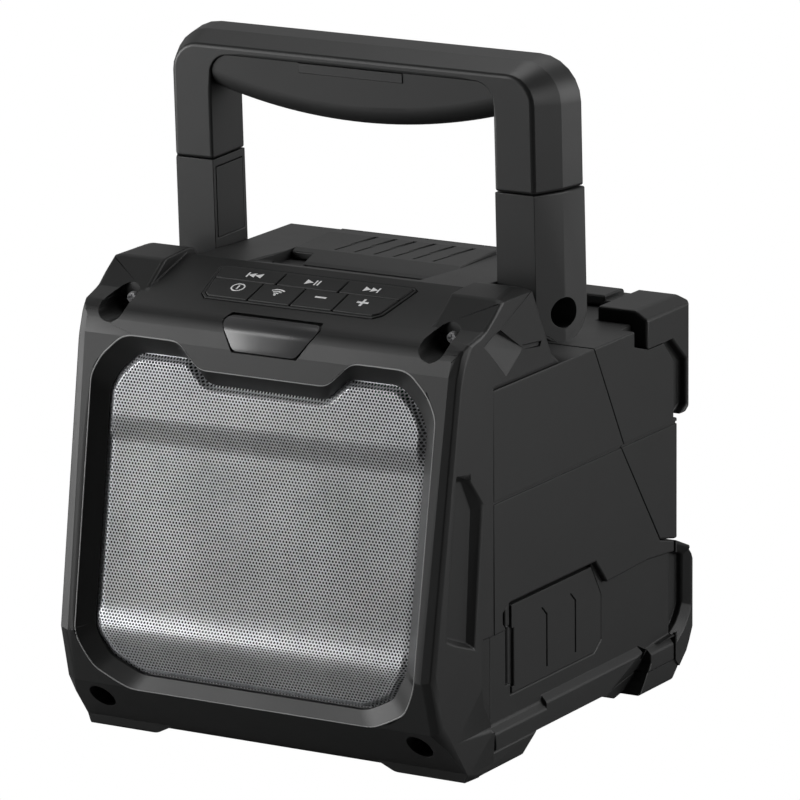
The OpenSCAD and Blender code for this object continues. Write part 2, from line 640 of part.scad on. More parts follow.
module handle_loft() hull() {
  arch_plate(-leg_d / 2, hand_hw + 21.2, arch_h - 5.5, 14);
  arch_plate(0, hand_hw + 28.8, arch_h - 1, 20);
  arch_plate(leg_d / 2 - 0.02, hand_hw + 32.3, arch_h, 22);
}

module gap_shape(g) polygon(mirrored(concat([[hand_hw - g, -60]],
  arc(hand_hw - g - 10, arch_h - 20, 10, 8))));

module handle_arch() color("#2b2c2e") on_handle() difference() {
  handle_loft();
  xz(-50, 100) gap_shape(0);
  translate([-200, -50, -100]) cube([400, 100, 100 + seam_h]);
  both() translate([hand_hw + 5 - 0.15, -9.15, seam_h - 1]) cube([12.3, 18.3, 17.2]);
  both() translate([hand_hw - 1, -leg_d / 2 - 1, seam_h - 0.5]) cube([60, leg_d + 2, 0.5 + 0.3]);
}

swell_r = (hand_hw * hand_hw + 121) / 22;

module grip() color("#242526") on_handle() difference() {
  intersection() {
    translate([0, 0, 83.6 + swell_r]) rotate([90, 0, 0]) rotate_extrude($fn = 180) {
      translate([swell_r - 60, -leg_d / 2 + 1]) square([50, leg_d - 2]);
      translate([swell_r - 20, -leg_d / 2 + 11]) square([20, leg_d - 22]);
      for (s = [-1, 1]) translate([swell_r - 10, s * (leg_d / 2 - 11)]) circle(10);
    }
    xz(-50, 100) gap_shape(0.3);
    translate([-100, -50, 60]) cube([200, 100, arch_h - 10 - 60]);
  }
  translate([-29, -leg_d / 2, arch_h - 15]) cube([58, 2.5, 20]);
}

module grip_strip() color("#3a3b3d") on_handle()
  translate([-28.7, -leg_d / 2 + 0.6, arch_h - 14.7]) cube([57.4, 1.9, 4.4]);

module leg_right() color("#2b2c2e") on_handle() difference() {
  union() {
    intersection() {
      handle_loft();
      yz_from(hand_hw, 60) {
        translate([-leg_d / 2, 0]) square([leg_d, seam_h]);
        circle(leg_d / 2);
      }
    }
    translate([hand_hw + 5, -9, seam_h - 1]) cube([12, 18, 17]);
  }
  along_x(hand_hw + 9.3, 0, 0, hole_r, 60);
  along_x(hand_hw - 1, 0, 0, bolt_r + run, 60);
  translate([hand_hw - 1, -leg_d / 2 + 2.6, 20]) cube([3, leg_d - 5.2, seam_h - 24]);
}

module leg_left() mirror([1, 0, 0]) leg_right();

module leg_cover_right() color("#343537") on_handle()
  translate([hand_hw, -leg_d / 2 + 2.8, 20.2]) cube([2, leg_d - 5.6, seam_h - 24.4]);

module leg_cover_left() mirror([1, 0, 0]) leg_cover_right();

module pivot_bolts() color("#a5a8ac") both() {
  along_x(deck_hw - 8, pivot_y, pivot_z, bolt_r, 19);
  along_x(hand_hw + 9.6, pivot_y, pivot_z, hole_r - 1.4, 3);
}

module pivot_bushes() color("#77797c") both() difference() {
  along_x(deck_hw - 7, pivot_y, pivot_z, bolt_r + 2.5 - run, 7);
  along_x(0, pivot_y, pivot_z, bolt_r + run, 200);
}

// Port cover and sockets

module port_cover() color("#2f3032") difference() {
  union() {
    yz_from(half - flap_in + 0.3, flap_t) flap_shape(0);
    translate([flap_x, flap_y, 38.4]) cylinder(r = 1.7, h = 27.8);
    yz_from(half - flap_in + 0.3, 1.3) polygon([[flap_y, 38.4], [flap_front + 1, 38.4], [flap_front + 1, 66.2],
      [flap_y, 66.2]]);
  }
  translate([flap_x, flap_y, 0]) cylinder(r = pin_r + run, h = 200);
  for (y = [-17.2, 10.9]) yz_from(half - flap_in + flap_t - 0.5, 5)
    polygon([[y - 0.6, flap_low + 4.4], [y + 0.6, flap_low + 4.4], [y + 0.6, flap_top - 15],
      [y - 4.2, flap_top - 10.5], [y - 5.4, flap_top - 10.5], [y - 0.6, flap_top - 15]]);
}

module port_pin() color("#9a9da1") translate([flap_x, flap_y, pin_low + 0.2])
  cylinder(r = pin_r, h = pin_top - pin_low - 0.4);

module port_plate() color("#1d1e1f") difference() {
  translate([port_x - 6, window[0] + 0.15, window[2] + 0.15])
    cube([2, window[1] - window[0] - 0.3, window[3] - window[2] - 0.3]);
  translate([port_x - 30, -34.3, 50.9]) cube([50, 14.8, 7.4]);
  along_x(port_x - 30, -8, 54.6, 4.1, 50);
  along_x(port_x - 30, 8, 54.6, 5.6, 50);
}

module socket_usb() color("#b4b7bb") difference() {
  translate([port_x - 16, -34.2, 51]) cube([12, 14.6, 7.2]);
  translate([port_x - 14, -33.4, 51.8]) cube([20, 13, 5.6]);
}

module socket_aux() color("#3c3e41") difference() {
  along_x(port_x - 16, -8, 54.6, 4, 12);
  along_x(port_x - 14, -8, 54.6, 1.8, 20);
}

module socket_power() color("#3c3e41") difference() {
  along_x(port_x - 16, 8, 54.6, 5.5, 12);
  along_x(port_x - 14, 8, 54.6, 3.2, 20);
}

module port_board() color("#1f5a3a") translate([port_x - 17.6, window[0] + 2, window[2] + 2])
  cube([1.6, window[1] - window[0] - 4, window[3] - window[2] - 4]);

module main_board() color("#1f5a3a") translate([-60, rear_y - wall - 5.6, part_low_z + 12])
  cube([120, 1.6, ledge_z - part_low_z - 25]);

module battery_pack() color("#3d4a57") translate([-60, 0, floor_z + wall]) cube([120, 70, 46]);

front_frame();
grille();
baffle();
badge();
key_surround();
key_power();
key_wireless();
key_minus();
key_plus();
key_previous();
key_play();
key_next();
key_board();
front_screws();
front_shell();
rear_shell_whole();  // rear_shell
bumper_lower();
bumper_left();
bumper_right();
lid();
lid_pin();
handle_arch();
grip();
grip_strip();
leg_left();
leg_right();
leg_cover_left();
leg_cover_right();
pivot_bolts();
pivot_bushes();
port_cover();
port_pin();
port_plate();
socket_usb();
socket_aux();
socket_power();
port_board();
driver_baskets();
driver_cones();
driver_surrounds();
driver_magnets();
main_board();
battery_pack();
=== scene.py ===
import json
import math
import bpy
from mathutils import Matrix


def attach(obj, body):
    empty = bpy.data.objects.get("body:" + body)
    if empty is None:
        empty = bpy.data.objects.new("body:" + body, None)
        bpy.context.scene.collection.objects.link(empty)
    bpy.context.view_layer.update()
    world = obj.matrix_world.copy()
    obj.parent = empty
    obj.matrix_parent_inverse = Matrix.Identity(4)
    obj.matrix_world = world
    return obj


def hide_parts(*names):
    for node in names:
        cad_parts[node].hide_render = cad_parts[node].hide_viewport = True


bl_info = {
    "name": "Jobsite speaker dressing",
    "version": (1, 0, 0),
    "blender": (4, 5, 0),
    "location": "3D View > Sidebar > Speaker",
    "description": "Mouldings, grille, marks and finishes for the packed frame of a speaker",
    "category": "Object",
}

import bmesh
import bpy
import numpy as np
from mathutils import Matrix, Vector
from mathutils.bvhtree import BVHTree

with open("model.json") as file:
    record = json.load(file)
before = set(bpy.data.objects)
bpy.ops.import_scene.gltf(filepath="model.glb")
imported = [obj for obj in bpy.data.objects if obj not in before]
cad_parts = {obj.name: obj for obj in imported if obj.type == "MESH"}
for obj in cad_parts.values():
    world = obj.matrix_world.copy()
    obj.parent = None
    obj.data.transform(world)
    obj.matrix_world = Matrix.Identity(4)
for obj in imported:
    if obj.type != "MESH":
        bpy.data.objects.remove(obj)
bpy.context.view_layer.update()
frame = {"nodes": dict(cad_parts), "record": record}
BODY_OF = {n: b for b, ns in frame["record"]["behaviour"]["bodies"].items() for n in ns}
MM = 0.001

# Places taken over from the solids, in millimetres and degrees
FACE_Y, FACE_Z, FACE_LEAN = -125.0, 55.0, 9.6
CHIN_LEAN, BEND_HALF = 14.53, 6.0
KEY_Y, KEY_Z, KEY_SLOPE = -62.0, 220.0, 17.0
SLOPE = (Matrix.Translation(Vector((0, KEY_Y, KEY_Z)) * MM)
         @ Matrix.Rotation(math.radians(KEY_SLOPE), 4, "X"))

# Top of the face, and how far the two facets above it run back and rise
FACE_TOP = 197
FACE_TOP_Y = FACE_Y + (FACE_TOP - FACE_Z) * math.tan(math.radians(FACE_LEAN))
LOW_BACK, LOW_RISE = 4, 10.5
HIGH_BACK, HIGH_RISE = 6, 3.8

# Half of the opening's outline by x and z, then its half width, middle and half height on the face
LIP_HALF = [(67, 27.7), (74, 30.6), (86, 37), (91, 46), (94, 54), (95, 177), (90, 186.6),
            (80.6, 195.5), (75.5, 197.4), (50, 197.4), (46, 195.8), (40.3, 190), (35, 185.4)]
LIP_WIDE, LIP_MIDDLE, LIP_HIGH = 95, 56, 85
LIP_CORNER = 4
LIP_FOOT_SHARE = 0.76

# Corners of an outline: the share of a side that a curve may take, and the curve's steps
CORNER_SHARE, CORNER_STEPS = 0.45, 4

# Opening of the frame: the filling's two insets and depths, and the cutter's insets and ends
FILL_RING = (-1.5, 10, 0.35, 6.9)
LIP_OUT, BEVEL_IN = -0.5, 7.2
CUT_FRONT, CUT_BACK = -4, 9
HIDDEN_DEEP, HIDDEN_IN = 4.2, 3

# Depth of the opening's bevel at its foot, what it gains, and where on the face it gains that
BEVEL_FOOT, BEVEL_GAIN = 5.0, 1.5
BEVEL_FROM, BEVEL_OVER = -12, 20

# Lines on the lid: size, middle of the first, step, number and turns in degrees
LID_LINE, LID_LINE_X, LID_LINE_Y, LID_LINE_Z = (1.3, 30, 1.8), -22.5, 22.3, 224.2
LID_LINE_STEP, LID_LINE_COUNT = 11, 6
LID_LINE_TURN, LID_SLOPE = -14, 2.95

# Gaps along the top of the port cover and beside its hinge, each by size and middle
COVER_GAPS = (((14, 90, 3), (105, -10, 78.0)), ((3.4, 2.2, 29), (105.3, -50.3, 50.5)))

# Soft crease: outward ways of the two facets, lift of its ends, sink of its middle, clear height
OUT_LOW, OUT_HIGH = Vector((-0.934, 0.356)), Vector((-0.535, 0.845))
CREASE_LIFT, CREASE_SINK, CREASE_CLEAR = 0.15, 0.08, 0.6
CREASE_HALF_WIDTH, CREASE_POINTS = 112, 15

# Perforated sheet: half width, thickness, shares of hole size and pitch, inset, rows and rim
SHEET_HALF, SHEET_THICK = 98, 0.5
HOLE_RADIUS, CELL_MERGE = 0.55, 0.01
SHEET_IN = 5.6
SHEET_FOOT_Z, SHEET_ROWS = 30, (0, 21, 42, 64)
RIM_RING = (5.7, 6.6, 9.2, 12)

# Badge plate: half outline by x and z, corner reach, cuts, and its place on the facets
BADGE_HALF = [(17.2, 196.7), (26.4, 209), (24.5, 211.4)]
BADGE_CORNER, BADGE_TURN = 2.6, 2.8
BADGE_CUTS, BADGE_STEP = 24, 0.6
BADGE_PROUD, BADGE_THICK, BADGE_EDGE = 0.1, 1.1, 0.3
BADGE_RIM_ANGLE = 40

# Painted highlight along the lip, as a thin pale raised line: inset, depth and radius of its
# six-sided section
LINE_IN, LINE_DEEP, LINE_RADIUS, LINE_SIDES = -0.45, 0.2, 0.35, 6

# Front screws: half distance, then y, z and shank length of the upper and the lower ones
SCREW_X = 88.8
SCREW_ROWS = ((-77.8, 210, 22.2), (-94.4, 19.3, 35.4))
HEAD_UNDER, HEAD_TOP, HEAD_HIGH = 2.4, 2.9, 2.4
CROSS_WIDE, CROSS_LONG, CROSS_DEEP = 0.8, 3.6, 2.4
SHANK_RADIUS, SHANK_START = 1.6, 2

# Rounding of the mouldings, in millimetres
ROUNDING = {"front_frame": 2.0, "front_shell": 0.9, "rear_shell": 0.9, "bumper_lower": 1.4,
            "bumper_left": 1.4, "bumper_right": 1.4, "lid": 0.6, "handle_arch": 1.6,
            "leg_left": 1.6, "leg_right": 1.6, "port_cover": 0.6, "key_surround": 0.3,
            "key_power": 0.6, "key_wireless": 0.6, "key_minus": 0.6, "key_plus": 0.6,
            "key_previous": 0.6, "key_play": 0.6, "key_next": 0.6}

# Limits of the rounding: edge angle in degrees, shares of the room, folds in square metres
SHARP_ANGLE, ALONG = 17, 0.85
ROOM_ENDS, ROOM_FACES, ROOM_LEAST = 0.42, 0.4, 0.0001
STRAY_SHARE, STRAY_MORE = 0.45, 5e-5
FOLD, FRAME_FOLD = 4e-6, 2e-5
TRIES, REACH, LESS, LEAST_WEIGHT = 10, 1.5, 0.4, 0.1

# Distances in metres for merging points and for slivers, and the angle within one flat face
MERGE, SLIVER, FLAT_ANGLE = 3e-5, 1e-6, 0.6

# Tones of a finish beside its colour, with the pale edge tone partly wear and partly painted
# highlight, spread of its roughness, and the bump of a fine surface
DARK, PALE, WORN_AND_HIGHLIGHT, WORN_AND_HIGHLIGHT_MORE = 0.82, 1.18, 2.2, 0.02
ROUGH_SPREAD = 0.07
FINE_BUMP = 0.00001

# Floor and world: half side in metres, tones, and the strength of reflections from front to rear
FLOOR_HALF, FLOOR_TONE, FLOOR_ROUGH = 6, 0.25, 0.8
WORLD_LIGHT, GLOSS_FRONT, GLOSS_REAR = 0.05, 0.03, 0.38
GLOSS_FROM, GLOSS_TO = -0.1, 0.6

# Softboxes: place in metres, size and power
SOFTBOXES = {"left softbox": ((-1.35, -0.85, 0.42), 0.9, 23),
             "front softbox": ((-0.80, -1.35, 0.90), 0.6, 6),
             "right softbox": ((1.6, 0.75, 0.55), 1.1, 16),
             "top softbox": ((-0.1, 0.6, 1.7), 1.0, 8)}
SOFTBOX_AIM = (0, 0, 0.15)

# Camera of the photo: lens and turns, then its place from a point on the front, in millimetres
LENS, SENSOR, FAR_CLIP = 302.3, 36, 50
AZIMUTH, ELEVATION, ROLL = 30.70, 13.80, -0.54
FRONT_POINT, TO_RIGHT, TO_TOP, AWAY = (0, -102, 116.5), 63.98, 56.87, 3183.9


class SpeakerSizes(bpy.types.PropertyGroup):
    hole_pitch: bpy.props.FloatProperty(
        name="Hole pitch", description="Distance between holes of the grille", default=0.00174,
        min=0.001, max=0.004, subtype="DISTANCE", unit="LENGTH")
    hole_size: bpy.props.FloatProperty(
        name="Hole size", description="Width of a hole of the grille", default=0.00132,
        min=0.0004, max=0.003, subtype="DISTANCE", unit="LENGTH")
    mark: bpy.props.FloatProperty(
        name="Mark height", description="Thickness of the printed key marks", default=0.00012,
        min=0.00002, max=0.0005, subtype="DISTANCE", unit="LENGTH")


class SpeakerColours(bpy.types.PropertyGroup):
    frame: bpy.props.FloatVectorProperty(
        name="Frame", description="Colour of the front frame", subtype="COLOR", size=3,
        default=(0.0055, 0.0058, 0.0057), min=0, max=1)
    shell: bpy.props.FloatVectorProperty(
        name="Shell", description="Colour of the housing", subtype="COLOR", size=3,
        default=(0.0085, 0.0089, 0.0088), min=0, max=1)
    handle: bpy.props.FloatVectorProperty(
        name="Handle", description="Colour of the handle", subtype="COLOR", size=3,
        default=(0.0095, 0.0099, 0.0098), min=0, max=1)
    grip: bpy.props.FloatVectorProperty(
        name="Grip", description="Colour of the soft grip", subtype="COLOR", size=3,
        default=(0.0085, 0.0088, 0.0087), min=0, max=1)
    grille: bpy.props.FloatVectorProperty(
        name="Grille", description="Colour of the grille's paint", subtype="COLOR", size=3,
        default=(0.60, 0.61, 0.63), min=0, max=1)
    mark: bpy.props.FloatVectorProperty(
        name="Marks", description="Colour of the key marks", subtype="COLOR", size=3,
        default=(0.92, 0.92, 0.92), min=0, max=1)


def sizes():
    return bpy.context.scene.speaker_sizes


def colours():
    return bpy.context.scene.speaker_colours


# Shader groups and finishes

def shader_node(tree, kind, values=None, operation=None):
    """A new node with the given values of its inputs."""
    node = tree.nodes.new(kind)
    if operation:
        node.operation = operation
    for key, value in (values or {}).items():
        node.inputs[key].default_value = value
    return node


def group_socket(tree, name, way, value=None):
    socket = tree.interface.new_socket(name=name, in_out=way, socket_type="NodeSocketFloat")
    if value is not None:
        socket.default_value = value


def grain_group():
    """Two masks: the height of a fine grain and a broad mottle."""
    if "Moulded grain" in bpy.data.node_groups:
        return bpy.data.node_groups["Moulded grain"]
    tree = bpy.data.node_groups.new("Moulded grain", "ShaderNodeTree")
    group_socket(tree, "Grain scale", "INPUT", 1400.0)
    group_socket(tree, "Height", "OUTPUT")
    group_socket(tree, "Mottle", "OUTPUT")
    link = tree.links.new
    given, out = shader_node(tree, "NodeGroupInput"), shader_node(tree, "NodeGroupOutput")
    place = shader_node(tree, "ShaderNodeTexCoord")
    fine = shader_node(tree, "ShaderNodeTexNoise", {"Detail": 3})
    link(place.outputs["Object"], fine.inputs["Vector"])
    link(given.outputs["Grain scale"], fine.inputs["Scale"])
    broad = shader_node(tree, "ShaderNodeTexNoise", {"Scale": 24, "Detail": 6, "Roughness": 0.62})
    link(place.outputs["Object"], broad.inputs["Vector"])
    link(fine.outputs["Fac"], out.inputs["Height"])
    link(broad.outputs["Fac"], out.inputs["Mottle"])
    return tree


def rub_and_highlight_group():
    """A mask of the edges that are painted pale, in patches: partly rubbed wear, partly painted
    highlight.
    """
    if "Edge rub" in bpy.data.node_groups:
        return bpy.data.node_groups["Edge rub"]
    tree = bpy.data.node_groups.new("Edge rub", "ShaderNodeTree")
    group_socket(tree, "Width", "INPUT", 0.0012)
    group_socket(tree, "Mask", "OUTPUT")
    link = tree.links.new
    given, out = shader_node(tree, "NodeGroupInput"), shader_node(tree, "NodeGroupOutput")
    bevel = shader_node(tree, "ShaderNodeBevel")
    bevel.samples = 6
    link(given.outputs["Width"], bevel.inputs["Radius"])
    surface = shader_node(tree, "ShaderNodeNewGeometry")
    dot = shader_node(tree, "ShaderNodeVectorMath", operation="DOT_PRODUCT")
    link(bevel.outputs["Normal"], dot.inputs[0])
    link(surface.outputs["Normal"], dot.inputs[1])
    edge = shader_node(tree, "ShaderNodeMapRange", {"From Min": 0.995, "From Max": 0.86})
    link(dot.outputs["Value"], edge.inputs["Value"])
    place = shader_node(tree, "ShaderNodeTexCoord")
    noise = shader_node(tree, "ShaderNodeTexNoise", {"Scale": 180, "Detail": 4})
    link(place.outputs["Object"], noise.inputs["Vector"])
    patch = shader_node(tree, "ShaderNodeMapRange", {"From Min": 0.35, "From Max": 0.7})
    link(noise.outputs["Fac"], patch.inputs["Value"])
    both = shader_node(tree, "ShaderNodeMath", operation="MULTIPLY")
    link(edge.outputs["Result"], both.inputs[0])
    link(patch.outputs["Result"], both.inputs[1])
    link(both.outputs["Value"], out.inputs["Mask"])
    return tree


def toned(colour, factor, more=0.0):
    """A paler or darker tone of a colour."""
    return tuple(min(1, c * factor + more) for c in colour) + (1,)


def moulded(name, colour, rough=0.55, grain=1400.0, bump=0.00003, rub_and_highlight=0.35, metallic=0.0):
    """A moulded or painted finish: fine grain in the bump, mottled tone, paler edges that are
    partly rubbed wear and partly painted highlight.
    """
    if name in bpy.data.materials:
        return bpy.data.materials[name]
    material = bpy.data.materials.new(name)
    material.use_nodes = True
    tree = material.node_tree
    link = tree.links.new
    skin = tree.nodes["Principled BSDF"]
    skin.inputs["Metallic"].default_value = metallic
    surface = shader_node(tree, "ShaderNodeGroup")
    surface.node_tree = grain_group()
    surface.inputs["Grain scale"].default_value = grain
    edges = shader_node(tree, "ShaderNodeGroup")
    edges.node_tree = rub_and_highlight_group()
    tone = shader_node(tree, "ShaderNodeMixRGB",
                       {"Color1": toned(colour, DARK), "Color2": toned(colour, PALE)})
    link(surface.outputs["Mottle"], tone.inputs["Fac"])
    # Paler edges: partly rubbed wear, partly painted highlight
    worn_and_highlight = shader_node(tree, "ShaderNodeMixRGB", {"Color2": toned(colour, WORN_AND_HIGHLIGHT, WORN_AND_HIGHLIGHT_MORE)})
    link(tone.outputs["Color"], worn_and_highlight.inputs["Color1"])
    much = shader_node(tree, "ShaderNodeMath", {1: rub_and_highlight}, "MULTIPLY")
    link(edges.outputs["Mask"], much.inputs[0])
    link(much.outputs["Value"], worn_and_highlight.inputs["Fac"])
    link(worn_and_highlight.outputs["Color"], skin.inputs["Base Color"])
    uneven = shader_node(tree, "ShaderNodeMapRange",
                         {"To Min": rough - ROUGH_SPREAD, "To Max": rough + ROUGH_SPREAD})
    link(surface.outputs["Mottle"], uneven.inputs["Value"])
    link(uneven.outputs["Result"], skin.inputs["Roughness"])
    relief = shader_node(tree, "ShaderNodeBump", {"Strength": 0.6, "Distance": bump})
    link(surface.outputs["Height"], relief.inputs["Height"])
    link(relief.outputs["Normal"], skin.inputs["Normal"])
    return material


def finish_of(node):
    """The finish of each node, by the record's material slot."""
    slot = next(s["material_slot"] for s in frame["record"]["subparts"] if s["node"] == node)
    c = colours()
    if slot == "frame":
        return moulded("frame plastic", c.frame, rough=0.5, grain=1300)
    if slot in ("shell", "lid", "bumper"):
        return moulded(slot + " plastic", c.shell, rough=0.52, grain=1500)
    if slot in ("handle", "trim"):
        return moulded(slot + " plastic", c.handle, rough=0.47, grain=1500)
    if slot in ("grip", "flap", "keys", "surround"):
        return moulded(slot + " rubber", c.grip, rough=0.6, grain=1100)
    if slot == "grille":
        return moulded("grille paint", c.grille, rough=0.36, grain=2600, bump=FINE_BUMP,
                       rub_and_highlight=0.2, metallic=0.6)
    if slot == "badge":
        return moulded("badge plate", (0.045, 0.045, 0.046), rough=0.30, grain=900,
                       bump=FINE_BUMP, rub_and_highlight=0.0)
    if slot in ("steel", "magnet"):
        return moulded(slot + " plate", (0.5, 0.51, 0.53), rough=0.3, grain=2000,
                       bump=FINE_BUMP, rub_and_highlight=0.2, metallic=1.0)
    if slot == "board":
        return moulded("board green", (0.02, 0.12, 0.05), rough=0.5)
    return moulded(slot + " black", (0.010, 0.010, 0.011), rough=0.7)


# Meshes and objects

def mesh_of(bm, name):
    mesh = bpy.data.meshes.new(name)
    bm.to_mesh(mesh)
    return mesh


def linked(name, data):
    """A new object in the scene."""
    obj = bpy.data.objects.new(name, data)
    bpy.context.scene.collection.objects.link(obj)
    return obj


def drop_spare(obj):
    """Takes an object out that was needed only while a shape was worked out."""
    mesh = obj.data
    bpy.data.objects.remove(obj)
    bpy.data.meshes.remove(mesh)


def round_modifier(obj, width):
    mod = obj.modifiers.new("round", "BEVEL")
    mod.width = width
    mod.segments = 3
    mod.limit_method = "WEIGHT"
    mod.use_clamp_overlap = False


def add_piece(name, bm, material, body, replaced=(), smooth=30, edge=0.0):
    """Makes the bmesh an object that rides on a body and may stand for nodes of the frame."""
    mesh = mesh_of(bm, name)
    bm.free()
    if smooth:
        mesh.shade_smooth()
        mesh.set_sharp_from_angle(angle=math.radians(smooth))
    obj = linked(name, mesh)
    obj.data.materials.append(material)
    if edge:
        round_modifier(obj, edge)
        mod = obj.modifiers.new("level", "WEIGHTED_NORMAL")
        mod.keep_sharp = True
    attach(obj, body)
    if replaced:
        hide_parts(*replaced)


def clean(bm):
    """Merges points that coincide and takes out slivers."""
    bmesh.ops.remove_doubles(bm, verts=bm.verts, dist=MERGE)
    bmesh.ops.dissolve_degenerate(bm, edges=bm.edges, dist=SLIVER)


def merged(node):
    """A copy of a node's mesh with its faces joined."""
    bm = bmesh.new()
    bm.from_mesh(frame["nodes"][node].data)
    clean(bm)
    bmesh.ops.dissolve_limit(bm, angle_limit=math.radians(FLAT_ANGLE), verts=bm.verts,
                             edges=bm.edges)
    return bm


def carved(bm, steps):
    """The mesh after joining or cutting it with other closed meshes."""
    obj = linked("whole", mesh_of(bm, "whole"))
    bm.free()
    tools = []
    for kind, tool in steps:
        tools.append(linked("tool", mesh_of(tool, "tool")))
        tool.free()
        mod = obj.modifiers.new("carve", "BOOLEAN")
        mod.operation = kind
        mod.solver = "EXACT"
        mod.object = tools[-1]
    graph = bpy.context.evaluated_depsgraph_get()
    out = bmesh.new()
    out.from_mesh(obj.evaluated_get(graph).to_mesh())
    for o in [obj] + tools:
        drop_spare(o)
    clean(out)
    if not out.faces:
        raise RuntimeError("carving left nothing")
    return out


def lofted(loops, ends=None):
    """A mesh through loops of points, shut on itself or capped round two end points."""
    bm = bmesh.new()
    rings = [[bm.verts.new(p) for p in loop] for loop in loops]
    for a, b in zip(rings, rings[1:] + ([] if ends else rings[:1])):
        for i in range(len(a)):
            j = (i + 1) % len(a)
            bm.faces.new((a[i], a[j], b[j], b[i]))
    for ring, end in zip((rings[0], rings[-1]), ends or ()):
        tip = bm.verts.new(end)
        for a, b in zip(ring, ring[1:] + ring[:1]):
            bm.faces.new((a, b, tip))
    bmesh.ops.recalc_face_normals(bm, faces=bm.faces)
    return bm


def everything(bm):
    return bm.verts[:] + bm.edges[:] + bm.faces[:]


def move_new(bm, made, way):
    """Moves the points that an operator has just made."""
    points = [g for g in made["geom"] if isinstance(g, bmesh.types.BMVert)]
    bmesh.ops.translate(bm, verts=points, vec=way)


def thicken(bm, way):
    """Draws flat faces out into a solid."""
    move_new(bm, bmesh.ops.extrude_face_region(bm, geom=bm.faces[:]), way)
    bmesh.ops.recalc_face_normals(bm, faces=bm.faces)


def add_copy(bm, way):
    """Adds a copy of the whole bmesh, set off by a step."""
    move_new(bm, bmesh.ops.duplicate(bm, geom=everything(bm)), way)


def to_metres(bm):
    bmesh.ops.scale(bm, verts=bm.verts, vec=Vector((MM, MM, MM)))


def block(size, place, turn=None):
    """A box of the given size, turned and set at a place, in millimetres."""
    bm = bmesh.new()
    bmesh.ops.create_cube(bm, size=1)
    bmesh.ops.scale(bm, verts=bm.verts, vec=Vector(size) * MM)
    if turn:
        bmesh.ops.rotate(bm, verts=bm.verts, matrix=turn)
    bmesh.ops.translate(bm, verts=bm.verts, vec=Vector(place) * MM)
    return bm


# Rounding of edges

def strays(bm, tree, width, fold):
    """Places where the rounding would leave the surface that it rounds, or fold a face."""
    obj = linked("trial", mesh_of(bm, "trial"))
    round_modifier(obj, width)
    got = obj.evaluated_get(bpy.context.evaluated_depsgraph_get()).to_mesh()
    far = STRAY_SHARE * width + STRAY_MORE
    off = [tree.find_nearest(v.co)[3] > far for v in got.vertices]
    bad = []
    for e in got.edges:
        a, b = e.vertices
        if off[a] != off[b]:
            bad.append(got.vertices[b if off[a] else a].co.copy())
    got.calc_loop_triangles()
    for tri in got.loop_triangles:
        if tri.area > fold and tri.normal.dot(got.polygons[tri.polygon_index].normal) < 0:
            bad += [got.vertices[i].co.copy() for i in tri.vertices]
    drop_spare(obj)
    return bad


def room_beside(edge, width):
    """How wide a rounding the edge has room for."""
    way = (edge.verts[1].co - edge.verts[0].co).normalized()
    near = []
    for v in edge.verts:
        for o in v.link_edges:
            other = (o.verts[1].co - o.verts[0].co).normalized()
            if o is not edge and abs(way.dot(other)) < ALONG:
                near.append(o.calc_length())
    wide = [2 * f.calc_area() / f.calc_perimeter() for f in edge.link_faces]
    return min(ROOM_ENDS * min(near, default=width), ROOM_FACES * min(wide))


def soften(bm, width, keep_sharp=None, fold=FOLD):
    """Sets a bevel weight on each sharp edge, less where there is little room for it."""
    weight = bm.edges.layers.float.new("bevel_weight_edge")
    for e in bm.edges:
        if len(e.link_faces) != 2 or e.calc_face_angle(0) < math.radians(SHARP_ANGLE):
            continue
        if keep_sharp and keep_sharp(e):
            continue
        room = room_beside(e, width)
        e[weight] = min(1.0, room / width) if room > ROOM_LEAST else 0.0
    tree = BVHTree.FromBMesh(bm)
    for _ in range(TRIES):
        bad = strays(bm, tree, width, fold)
        if not bad:
            break
        for e in bm.edges:
            if not e[weight]:
                continue
            a, b = (v.co for v in e.verts)
            for p in bad:
                t = (p - a).dot(b - a) / max((b - a).length_squared, 1e-12)
                t = min(1.0, max(0.0, t))
                if (a + (b - a) * t - p).length < REACH * width:
                    e[weight] = e[weight] * LESS if e[weight] > LEAST_WEIGHT else 0.0
                    break


# Outlines and places on the bent front, in millimetres

def up_face(z):
    """Distance up the leaning face for a height."""
    return (z - FACE_Z) / math.cos(math.radians(FACE_LEAN))


def quadratic(start, aim, end, t):
    """A place on the curve between two points that leans towards a third."""
    return start * (1 - t) ** 2 + aim * (2 * t * (1 - t)) + end * t ** 2


def eased(points, reach):
    """The closed outline with each corner turned into a short curve."""
    out = []
    for i, (x, y) in enumerate(points):
        p = Vector((x, y))
        arms = []
        for q in (points[i - 1], points[(i + 1) % len(points)]):
            d = Vector(q) - p
            arms.append(p + d.normalized() * min(reach, CORNER_SHARE * d.length))
        for k in range(CORNER_STEPS + 1):
            c = quadratic(arms[0], p, arms[1], k / CORNER_STEPS)
            out.append((c.x, c.y))
    return out


def both_sides(half):
    """A closed outline from its right half."""
    return half + [(-x, y) for x, y in reversed(half)]


LIP = eased(both_sides([(x, up_face(z)) for x, z in LIP_HALF]), LIP_CORNER)


def lip_outline(inward):
    """The outline of the grille opening, drawn in by the given distance, less so below."""
    out = []
    for x, v in LIP:
        share = LIP_FOOT_SHARE if v < LIP_MIDDLE else 1
        out.append((x * (1 - inward / LIP_WIDE),
                    LIP_MIDDLE + (v - LIP_MIDDLE) * (1 - inward * share / LIP_HIGH)))
    return out


